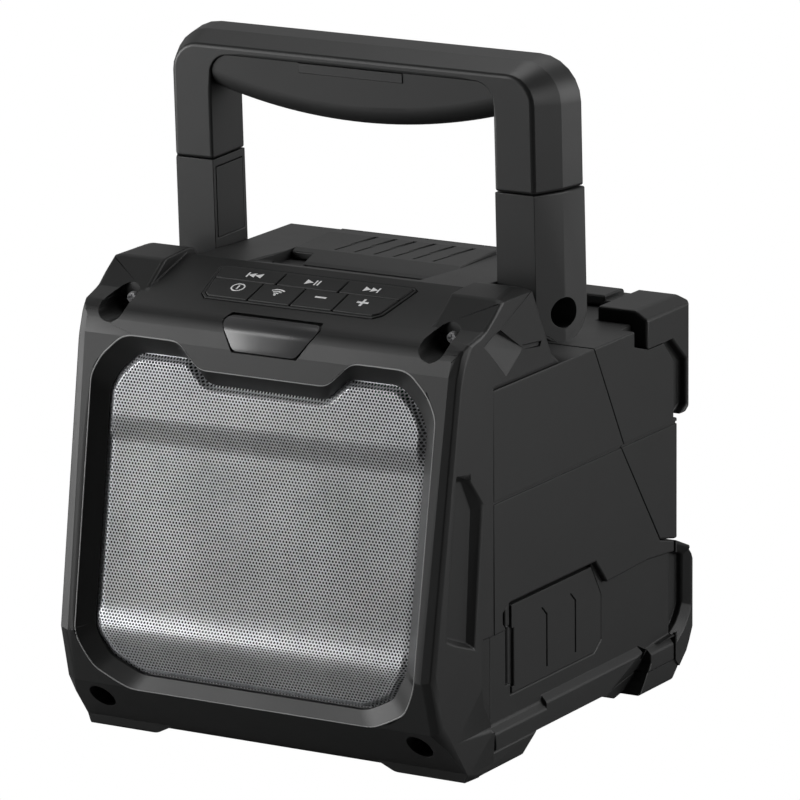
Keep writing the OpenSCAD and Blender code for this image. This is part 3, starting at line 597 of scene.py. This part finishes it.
def bent(u, v, deep):
    """A place behind the front, which leans back above the chin line and turns back below it."""
    lean = math.radians(FACE_LEAN)
    step = math.radians(FACE_LEAN + CHIN_LEAN) / (2 * BEND_HALF)
    a = lean - step * min(max(BEND_HALF - v, 0.0), 2 * BEND_HALF)
    top, low = max(v, BEND_HALF), max(0.0, -BEND_HALF - v)
    y = (FACE_Y + top * math.sin(lean) - (math.cos(a) - math.cos(lean)) / step
         - low * math.sin(a))
    z = (FACE_Z + top * math.cos(lean) - (math.sin(lean) - math.sin(a)) / step
         - low * math.cos(a))
    return Vector((u, y + deep * math.cos(a), z - deep * math.sin(a))) * MM


def lip_loop(inward, deep):
    """The opening's outline, drawn in and set behind the front."""
    return [bent(u, v, deep) for u, v in lip_outline(inward)]


def lip_ring(outer, inner, front, back):
    """A closed band along the opening, between two insets and two depths."""
    corners = (outer, front), (inner, front), (inner, back), (outer, back)
    return lofted([lip_loop(inward, deep) for inward, deep in corners])


def ease(t):
    t = np.clip(t, 0.0, 1.0)
    return t * t * (3 - 2 * t)


def bevel_depth(v):
    """Depth of the opening's bevel, less below the chin line."""
    return BEVEL_FOOT + BEVEL_GAIN * float(ease((v - BEVEL_FROM) / BEVEL_OVER))


def inside(u, v, outline):
    hit = False
    for (x0, y0), (x1, y1) in zip(outline, outline[1:] + outline[:1]):
        if (y0 > v) != (y1 > v) and u < (x1 - x0) * (v - y0) / (y1 - y0) + x0:
            hit = not hit
    return hit


def from_edge(u, v, outline):
    """Distance of places from an outline, zero outside it."""
    best = np.full(u.shape, 1e9)
    hit = np.zeros(u.shape, bool)
    for (x0, y0), (x1, y1) in zip(outline, outline[1:] + outline[:1]):
        dx, dy = x1 - x0, y1 - y0
        t = np.clip(((u - x0) * dx + (v - y0) * dy) / max(dx * dx + dy * dy, 1e-9), 0, 1)
        best = np.minimum(best, np.hypot(u - x0 - t * dx, v - y0 - t * dy))
        if y0 != y1:
            hit ^= ((y0 > v) != (y1 > v)) & (u < dx * (v - y0) / dy + x0)
    return np.where(hit, best, 0.0)


# Mouldings

def front_opening():
    """A filling of the frame's opening and the cutter that opens it again, bent with the face."""
    inner = lip_outline(BEVEL_IN)
    front = []
    for (u, v), (iu, iv) in zip(lip_outline(LIP_OUT), inner):
        k = -CUT_FRONT / bevel_depth(iv)
        front.append(bent(u + (u - iu) * k, v + (v - iv) * k, CUT_FRONT))
    foot = [bent(u, v, bevel_depth(v)) for u, v in inner]
    ends = bent(0, LIP_MIDDLE, CUT_FRONT), bent(0, LIP_MIDDLE, CUT_BACK)
    cut = lofted([front, foot, lip_loop(BEVEL_IN, CUT_BACK)], ends)
    return [("UNION", lip_ring(*FILL_RING)), ("DIFFERENCE", cut)]


def crease_turn():
    """A cutter across the frame that turns the crease above the face into a soft curve."""
    foot = Vector((FACE_TOP_Y, FACE_TOP))
    crease = foot + Vector((LOW_BACK, LOW_RISE))
    top = foot + Vector((LOW_BACK + HIGH_BACK, LOW_RISE + HIGH_RISE))
    start = (foot + crease) / 2 + OUT_LOW * CREASE_LIFT
    end = (crease + top) / 2 + OUT_HIGH * CREASE_LIFT
    aim = crease - (OUT_LOW + OUT_HIGH) * CREASE_SINK
    curve = [quadratic(start, aim, end, t) for t in np.linspace(0, 1, CREASE_POINTS)]
    curve += [end + OUT_HIGH * CREASE_CLEAR, crease + (OUT_LOW + OUT_HIGH) * CREASE_CLEAR,
              start + OUT_LOW * CREASE_CLEAR]
    bm = bmesh.new()
    side = -CREASE_HALF_WIDTH * MM
    bm.faces.new([bm.verts.new((side, y * MM, z * MM)) for y, z in curve])
    thicken(bm, Vector((-2 * side, 0, 0)))
    return bm


def behind_lip(edge):
    """Whether an edge lies behind the lip of the opening, out of sight."""
    c = (edge.verts[0].co + edge.verts[1].co) / 2 / MM
    v = up_face(c.z)
    front = bent(c.x, v, 0) / MM
    return c.y - front.y > HIDDEN_DEEP and inside(c.x, v, lip_outline(HIDDEN_IN))


def lid_lines():
    """The slanted lines that cross the top of the lid from its front edge."""
    turn = (Matrix.Rotation(math.radians(LID_LINE_TURN), 3, "Z")
            @ Matrix.Rotation(math.radians(LID_SLOPE), 3, "X"))
    places = [(LID_LINE_X + LID_LINE_STEP * i, LID_LINE_Y, LID_LINE_Z)
              for i in range(LID_LINE_COUNT)]
    return [("DIFFERENCE", block(LID_LINE, place, turn)) for place in places]


def cover_gaps():
    """The dark gaps along the top of the port cover and beside its hinge."""
    return [("DIFFERENCE", block(size, place)) for size, place in COVER_GAPS]


CARVING = {"lid": lid_lines, "port_cover": cover_gaps}


class SPEAKER_OT_mouldings(bpy.types.Operator):
    """Rounds the edges of the moulded pieces and gives every node its finish"""
    bl_idname = "speaker.mouldings"
    bl_label = "Mouldings"

    def execute(self, context):
        for name, obj in frame["nodes"].items():
            obj.data.materials.clear()
            obj.data.materials.append(finish_of(name))
        for node, width in ROUNDING.items():
            bm = merged(node)
            if node == "front_frame":
                # The crease is cut first: the three steps in one go turn the mesh inside out
                bm = carved(bm, [("DIFFERENCE", crease_turn())])
                bm = carved(bm, front_opening())
                soften(bm, width * MM, behind_lip, FRAME_FOLD)
            else:
                if node in CARVING:
                    bm = carved(bm, CARVING[node]())
                soften(bm, width * MM)
            add_piece(node + "_moulding", bm, finish_of(node), BODY_OF[node], (node,),
                      edge=width * MM)
        return {"FINISHED"}


# Grille

def sheet_depth(u, v):
    """How far the sheet lies behind the face: two raised bands and a border rolled back."""
    base, chin, chin_top, chin_turn = 8.2, 1.6, 14, 18
    high, high_z, high_tilt, high_turn = 3.5, 147, 0.016, 15
    low, low_z, low_tilt, low_turn = 1.05, 75, 0.037, 17
    border_in, border_deep, border_least, border_turn = 7.4, 7.6, 0.25, 3.6
    deep = base - chin * ease((chin_top - v) / chin_turn)
    deep = deep - high * ease((v - up_face(high_z) - high_tilt * u) / high_turn)
    deep = deep - low * ease((up_face(low_z) + low_tilt * u - v) / low_turn)
    border = 1 - ease(from_edge(u, v, lip_outline(border_in)) / border_turn)
    return deep + np.maximum(border_deep - deep, border_least) * border


def double_up(bm, step, times):
    """Doubles everything in the bmesh a few times, each copy set further along the step."""
    for i in range(times):
        add_copy(bm, step * (2 ** i))


def drop_outside(bm, pitch, rise, low, high):
    """Deletes the cells of the sheet that lie outside its outline or above its part."""
    outline = lip_outline(SHEET_IN)
    known = {}
    gone = []
    for f in bm.faces:
        c = f.calc_center_median()
        row = round((c.y - low) / rise)
        shift = pitch / 2 if row % 2 else 0
        key = (row, round((c.x + SHEET_HALF - shift) / pitch))
        if key not in known:
            u, v = key[1] * pitch + shift - SHEET_HALF, row * rise + low
            known[key] = v < high - rise / 2 and inside(u, v, outline)
        if not known[key]:
            gone.append(f)
    bmesh.ops.delete(bm, geom=gone, context="FACES")


def perforated(pitch, hole, low, high):
    """One part of the perforated sheet between two heights on the face."""
    bm = bmesh.new()
    rise = pitch * math.sqrt(3) / 2
    outer = bmesh.ops.create_circle(bm, segments=6, radius=pitch / math.sqrt(3))["verts"]
    inner = bmesh.ops.create_circle(bm, segments=6, radius=hole * HOLE_RADIUS)["verts"]
    loops = {e for v in outer + inner for e in v.link_edges}
    bmesh.ops.bridge_loops(bm, edges=list(loops))
    columns = math.ceil(2 * SHEET_HALF / pitch)
    rows = math.ceil((high - low) / (2 * rise))
    double_up(bm, Vector((pitch, 0, 0)), math.ceil(math.log2(columns)))
    add_copy(bm, Vector((pitch / 2, rise, 0)))
    double_up(bm, Vector((0, 2 * rise, 0)), math.ceil(math.log2(rows)))
    bmesh.ops.translate(bm, verts=bm.verts, vec=Vector((-SHEET_HALF, low, 0)))
    drop_outside(bm, pitch, rise, low, high)
    bmesh.ops.remove_doubles(bm, verts=bm.verts, dist=pitch * CELL_MERGE)
    flat = np.array([v.co[:2] for v in bm.verts])
    for v, deep in zip(bm.verts, sheet_depth(flat[:, 0], flat[:, 1])):
        v.co.z = -deep
    bmesh.ops.recalc_face_normals(bm, faces=bm.faces)
    if sum(f.normal.z for f in bm.faces) < 0:
        bmesh.ops.reverse_faces(bm, faces=bm.faces)
    bmesh.ops.solidify(bm, geom=bm.faces[:], thickness=SHEET_THICK)
    for v in bm.verts:
        v.co = bent(v.co.x, v.co.y, -v.co.z)
    return bm


class SPEAKER_OT_grille(bpy.types.Operator):
    """Makes the perforated sheet with its formed bands and its folded rim"""
    bl_idname = "speaker.grille"
    bl_label = "Grille"

    def execute(self, context):
        pitch, hole = sizes().hole_pitch / MM, sizes().hole_size / MM
        rise = pitch * math.sqrt(3)
        cuts = [up_face(SHEET_FOOT_Z) + rise * n for n in SHEET_ROWS]
        for name, a, b in zip(("grille_low", "grille_middle", "grille_high"), cuts, cuts[1:]):
            bm = perforated(pitch, hole, a, b)
            add_piece(name, bm, finish_of("grille"), BODY_OF["grille"], ("grille",), smooth=0)
        bm = lip_ring(*RIM_RING)
        add_piece("grille_rim", bm, finish_of("grille"), BODY_OF["grille"], ("grille",))
        return {"FINISHED"}


# Badge, lip line and screws

def badge_front(z):
    """Depth position of the badge: the frame's two upper facets with a soft turn between them."""
    low, high = LOW_BACK / LOW_RISE, HIGH_BACK / HIGH_RISE
    y = FACE_TOP_Y + low * (z - FACE_TOP)
    t = z - (FACE_TOP + LOW_RISE)
    if t > BADGE_TURN:
        return y + (high - low) * t
    if t > -BADGE_TURN:
        return y + (high - low) * (t + BADGE_TURN) ** 2 / (4 * BADGE_TURN)
    return y


class SPEAKER_OT_badge(bpy.types.Operator):
    """Makes the bare glossy badge plate with rounded corners"""
    bl_idname = "speaker.badge"
    bl_label = "Badge"

    def execute(self, context):
        bm = bmesh.new()
        outline = eased(both_sides(BADGE_HALF), BADGE_CORNER)
        bm.faces.new([bm.verts.new((x, 0, z)) for x, z in outline])
        for i in range(BADGE_CUTS):
            bmesh.ops.bisect_plane(bm, geom=everything(bm),
                                   plane_co=(0, 0, FACE_TOP + i * BADGE_STEP),
                                   plane_no=(0, 0, 1))
        for v in bm.verts:
            v.co.y = badge_front(v.co.z) - BADGE_PROUD
        thicken(bm, Vector((0, BADGE_THICK, 0)))
        to_metres(bm)
        rim = [e for e in bm.edges if e.calc_face_angle(0) > math.radians(BADGE_RIM_ANGLE)]
        bmesh.ops.bevel(bm, geom=rim, offset=BADGE_EDGE * MM, offset_type="OFFSET", segments=2,
                        profile=0.5, affect="EDGES", material=-1, clamp_overlap=True)
        add_piece("badge_plate", bm, finish_of("badge"), BODY_OF["badge"], ("badge",))
        return {"FINISHED"}


def lip_highlight_line():
    """A thin raised pale line along the lip of the opening: a painted highlight where the lip's
    rounded edge catches the light.
    """
    loops = []
    for i in range(LINE_SIDES):
        a = math.radians(360 * i / LINE_SIDES)
        loops.append(lip_loop(LINE_IN + LINE_RADIUS * math.cos(a),
                              LINE_DEEP + LINE_RADIUS * math.sin(a)))
    return lofted(loops)


def screw(x, y, z, shank):
    """A screw with a crossed head, pointing to the rear."""
    to_rear = Matrix.Rotation(math.radians(-90), 3, "X")
    bm = bmesh.new()
    bmesh.ops.create_cone(bm, cap_ends=True, segments=32, radius1=HEAD_UNDER, radius2=HEAD_TOP,
                          depth=HEAD_HIGH)
    bmesh.ops.translate(bm, verts=bm.verts, vec=Vector((0, 0, HEAD_HIGH / 2)))
    bmesh.ops.rotate(bm, verts=bm.verts, matrix=to_rear)
    bmesh.ops.translate(bm, verts=bm.verts, vec=Vector((x, y, z)))
    to_metres(bm)
    bm = carved(bm, [("DIFFERENCE", block((w, CROSS_DEEP, h), (x, y, z)))
                     for w, h in ((CROSS_WIDE, CROSS_LONG), (CROSS_LONG, CROSS_WIDE))])
    stem = bmesh.ops.create_cone(bm, cap_ends=True, segments=20, radius1=SHANK_RADIUS * MM,
                                 radius2=SHANK_RADIUS * MM, depth=shank * MM)["verts"]
    bmesh.ops.rotate(bm, verts=stem, matrix=to_rear)
    bmesh.ops.translate(bm, verts=stem, vec=Vector((x, y + SHANK_START + shank / 2, z)) * MM)
    return bm


class SPEAKER_OT_fittings(bpy.types.Operator):
    """Makes the pale line of painted highlight along the opening's lip and the four front screws
    """
    bl_idname = "speaker.fittings"
    bl_label = "Lip line and screws"

    def execute(self, context):
        # Pale colour of the lip line: a painted highlight
        line = moulded("painted lip highlight", (0.28, 0.282, 0.28), rough=0.45, grain=1300, bump=FINE_BUMP,
                       rub_and_highlight=0.0)
        add_piece("front_frame_lip_highlight", lip_highlight_line(), line, BODY_OF["front_frame"])
        bm = bmesh.new()
        for x in (-SCREW_X, SCREW_X):
            for y, z, shank in SCREW_ROWS:
                one = screw(x, y, z, shank)
                mesh = mesh_of(one, "screw")
                one.free()
                bm.from_mesh(mesh)
                bpy.data.meshes.remove(mesh)
        steel = moulded("screw steel", (0.62, 0.62, 0.63), rough=0.42, grain=2000,
                        bump=FINE_BUMP, rub_and_highlight=0.2, metallic=0.5)
        add_piece("front_screw_set", bm, steel, BODY_OF["front_screws"], ("front_screws",))
        return {"FINISHED"}


# Key marks, drawn flat on the key field in millimetres and raised a little

def slab(bm, points):
    """A flat face through the points."""
    bm.faces.new([bm.verts.new((x, y, 0)) for x, y in points])


def bar(bm, x, y, w, h):
    """An upright oblong round its middle."""
    slab(bm, [(x - w / 2, y - h / 2), (x + w / 2, y - h / 2),
              (x + w / 2, y + h / 2), (x - w / 2, y + h / 2)])


def arc_band(bm, cx, cy, r0, r1, start, end, n):
    """A band between two radii, from one angle to another."""
    ring = []
    for i in range(n + 1):
        a = math.radians(start + (end - start) * i / n)
        ring.append([bm.verts.new((cx + r * math.cos(a), cy + r * math.sin(a), 0))
                     for r in (r0, r1)])
    for a, b in zip(ring, ring[1:]):
        bm.faces.new((a[0], a[1], b[1], b[0]))


def power_mark(bm):
    arc_band(bm, 0, 0, 2.9, 3.65, 0, 360, 32)
    bar(bm, 0, 0, 0.8, 3.4)


def wireless_mark(bm):
    for r in (2.2, 3.9, 5.6):
        arc_band(bm, 0, -2.6, r - 0.75, r, 48, 132, 10)
    arc_band(bm, 0, -2.4, 0, 0.7, 0, 360, 12)


def minus_mark(bm):
    bar(bm, 0, 0, 6.2, 1.25)


def plus_mark(bm):
    bar(bm, 0, 0, 6.2, 1.25)
    bar(bm, 0, 1.9, 1.25, 2.5)
    bar(bm, 0, -1.9, 1.25, 2.5)


def previous_mark(bm):
    bar(bm, -4.2, 0, 0.8, 4.2)
    slab(bm, [(-0.2, -2.1), (-0.2, 2.1), (-3.8, 0)])
    slab(bm, [(3.6, -2.1), (3.6, 2.1), (0, 0)])


def play_mark(bm):
    slab(bm, [(-3.9, -2.2), (0.2, 0), (-3.9, 2.2)])
    bar(bm, 1.5, 0, 0.85, 4.4)
    bar(bm, 3.3, 0, 0.85, 4.4)


def next_mark(bm):
    bar(bm, 4.2, 0, 0.8, 4.2)
    slab(bm, [(0.2, -2.1), (0.2, 2.1), (3.8, 0)])
    slab(bm, [(-3.6, -2.1), (-3.6, 2.1), (0, 0)])


# Each mark with its place on the key field, the key tops above the field, and a merge distance
MARKS = {"key_power": (power_mark, -34.2, -6.3), "key_wireless": (wireless_mark, -12.2, -6.6),
         "key_minus": (minus_mark, 11.9, -6.2), "key_plus": (plus_mark, 35.0, -6.2),
         "key_previous": (previous_mark, -31.6, 6.2), "key_play": (play_mark, 0.5, 6.2),
         "key_next": (next_mark, 32.6, 6.2)}
KEY_TOP, MARK_MERGE = 1.0, 0.001


class SPEAKER_OT_marks(bpy.types.Operator):
    """Puts the plain marks on the seven keys"""
    bl_idname = "speaker.marks"
    bl_label = "Key marks"

    def execute(self, context):
        paint = moulded("mark paint", colours().mark, rough=0.5, grain=2200, bump=FINE_BUMP,
                        rub_and_highlight=0.0)
        height = sizes().mark / MM
        for node, (draw, u, v) in MARKS.items():
            bm = bmesh.new()
            draw(bm)
            bmesh.ops.remove_doubles(bm, verts=bm.verts, dist=MARK_MERGE)
            thicken(bm, Vector((0, 0, height)))
            bmesh.ops.translate(bm, verts=bm.verts, vec=Vector((u, v, KEY_TOP)))
            to_metres(bm)
            bmesh.ops.transform(bm, matrix=SLOPE, verts=bm.verts)
            add_piece(node + "_mark", bm, paint, BODY_OF[node], smooth=0)
        return {"FINISHED"}


# Stage

def lay_floor():
    """A wide grey floor that the camera sees as white."""
    bm = bmesh.new()
    bmesh.ops.create_grid(bm, x_segments=1, y_segments=1, size=FLOOR_HALF)
    obj = linked("floor", mesh_of(bm, "floor"))
    bm.free()
    material = bpy.data.materials.new("pale floor")
    material.use_nodes = True
    tree = material.node_tree
    link = tree.links.new
    grey = tree.nodes["Principled BSDF"]
    grey.inputs["Base Color"].default_value = (FLOOR_TONE, FLOOR_TONE, FLOOR_TONE, 1)
    grey.inputs["Roughness"].default_value = FLOOR_ROUGH
    path = shader_node(tree, "ShaderNodeLightPath")
    white = shader_node(tree, "ShaderNodeEmission", {"Color": (1, 1, 1, 1)})
    mix = shader_node(tree, "ShaderNodeMixShader")
    link(path.outputs["Is Camera Ray"], mix.inputs["Fac"])
    link(grey.outputs["BSDF"], mix.inputs[1])
    link(white.outputs["Emission"], mix.inputs[2])
    link(mix.outputs["Shader"], tree.nodes["Material Output"].inputs["Surface"])
    obj.data.materials.append(material)


def light_world(scene):
    """A dim world, paler to the rear in reflections, that the camera sees as white."""
    world = bpy.data.worlds.new("studio")
    scene.world = world
    world.use_nodes = True
    tree = world.node_tree
    link = tree.links.new
    around = tree.nodes["Background"]
    around.inputs["Color"].default_value = (1, 1, 1, 1)
    path = shader_node(tree, "ShaderNodeLightPath")
    way = shader_node(tree, "ShaderNodeTexCoord")
    split = shader_node(tree, "ShaderNodeSeparateXYZ")
    link(way.outputs["Generated"], split.inputs["Vector"])
    rear = shader_node(tree, "ShaderNodeMapRange", {"From Min": GLOSS_FROM, "From Max": GLOSS_TO,
                                                    "To Min": GLOSS_FRONT, "To Max": GLOSS_REAR})
    link(split.outputs["Y"], rear.inputs["Value"])
    seen = shader_node(tree, "ShaderNodeMix", {"A": WORLD_LIGHT})
    link(path.outputs["Is Glossy Ray"], seen.inputs["Factor"])
    link(rear.outputs["Result"], seen.inputs["B"])
    white = shader_node(tree, "ShaderNodeMix", {"B": 1.0})
    link(path.outputs["Is Camera Ray"], white.inputs["Factor"])
    link(seen.outputs["Result"], white.inputs["A"])
    link(white.outputs["Result"], around.inputs["Strength"])


def set_lamps():
    for name, (place, size, power) in SOFTBOXES.items():
        lamp = bpy.data.lights.new(name, "AREA")
        lamp.size = size
        lamp.energy = power
        obj = linked(name, lamp)
        obj.location = place
        aim = Vector(SOFTBOX_AIM) - Vector(place)
        obj.rotation_euler = aim.to_track_quat("-Z", "Y").to_euler()


def set_camera(scene):
    """The camera of the photo, as solved from its square edges."""
    camera = bpy.data.cameras.new("photo camera")
    camera.lens = LENS
    camera.sensor_width = SENSOR
    camera.clip_end = FAR_CLIP
    obj = linked("photo camera", camera)
    az, el, roll = (math.radians(a) for a in (AZIMUTH, ELEVATION, ROLL))
    back = Vector((math.sin(az) * math.cos(el), -math.cos(az) * math.cos(el), math.sin(el)))
    level = Vector((math.cos(az), math.sin(az), 0))
    upright = back.cross(level)
    right = math.cos(roll) * level + math.sin(roll) * upright
    up = -math.sin(roll) * level + math.cos(roll) * upright
    place = Vector(FRONT_POINT) + TO_RIGHT * right + TO_TOP * up + AWAY * back
    turn = Matrix((right, up, back)).transposed().to_4x4()
    obj.matrix_world = Matrix.Translation(place * MM) @ turn
    scene.camera = obj


class SPEAKER_OT_stage(bpy.types.Operator):
    """Sets the pale floor, the world, the lights and the camera"""
    bl_idname = "speaker.stage"
    bl_label = "Stage"

    def execute(self, context):
        lay_floor()
        light_world(context.scene)
        set_lamps()
        set_camera(context.scene)
        context.scene.view_settings.view_transform = "Standard"
        return {"FINISHED"}


class SPEAKER_PT_panel(bpy.types.Panel):
    """Lists the steps of the dressing"""
    bl_idname = "SPEAKER_PT_panel"
    bl_label = "Speaker"
    bl_space_type = "VIEW_3D"
    bl_region_type = "UI"
    bl_category = "Speaker"

    def draw(self, context):
        for op in STEPS:
            self.layout.operator(op.bl_idname)


STEPS = (SPEAKER_OT_mouldings, SPEAKER_OT_grille, SPEAKER_OT_badge, SPEAKER_OT_fittings,
         SPEAKER_OT_marks, SPEAKER_OT_stage)
CLASSES = (SpeakerSizes, SpeakerColours) + STEPS + (SPEAKER_PT_panel,)


def register():
    for c in CLASSES:
        bpy.utils.register_class(c)
    bpy.types.Scene.speaker_sizes = bpy.props.PointerProperty(type=SpeakerSizes)
    bpy.types.Scene.speaker_colours = bpy.props.PointerProperty(type=SpeakerColours)


def unregister():
    del bpy.types.Scene.speaker_colours
    del bpy.types.Scene.speaker_sizes
    for c in reversed(CLASSES):
        bpy.utils.unregister_class(c)


def main():
    register()
    bpy.ops.speaker.mouldings()
    bpy.ops.speaker.grille()
    bpy.ops.speaker.badge()
    bpy.ops.speaker.fittings()
    bpy.ops.speaker.marks()
    bpy.ops.speaker.stage()
    bpy.context.view_layer.update()


if __name__ == "__main__":
    main()
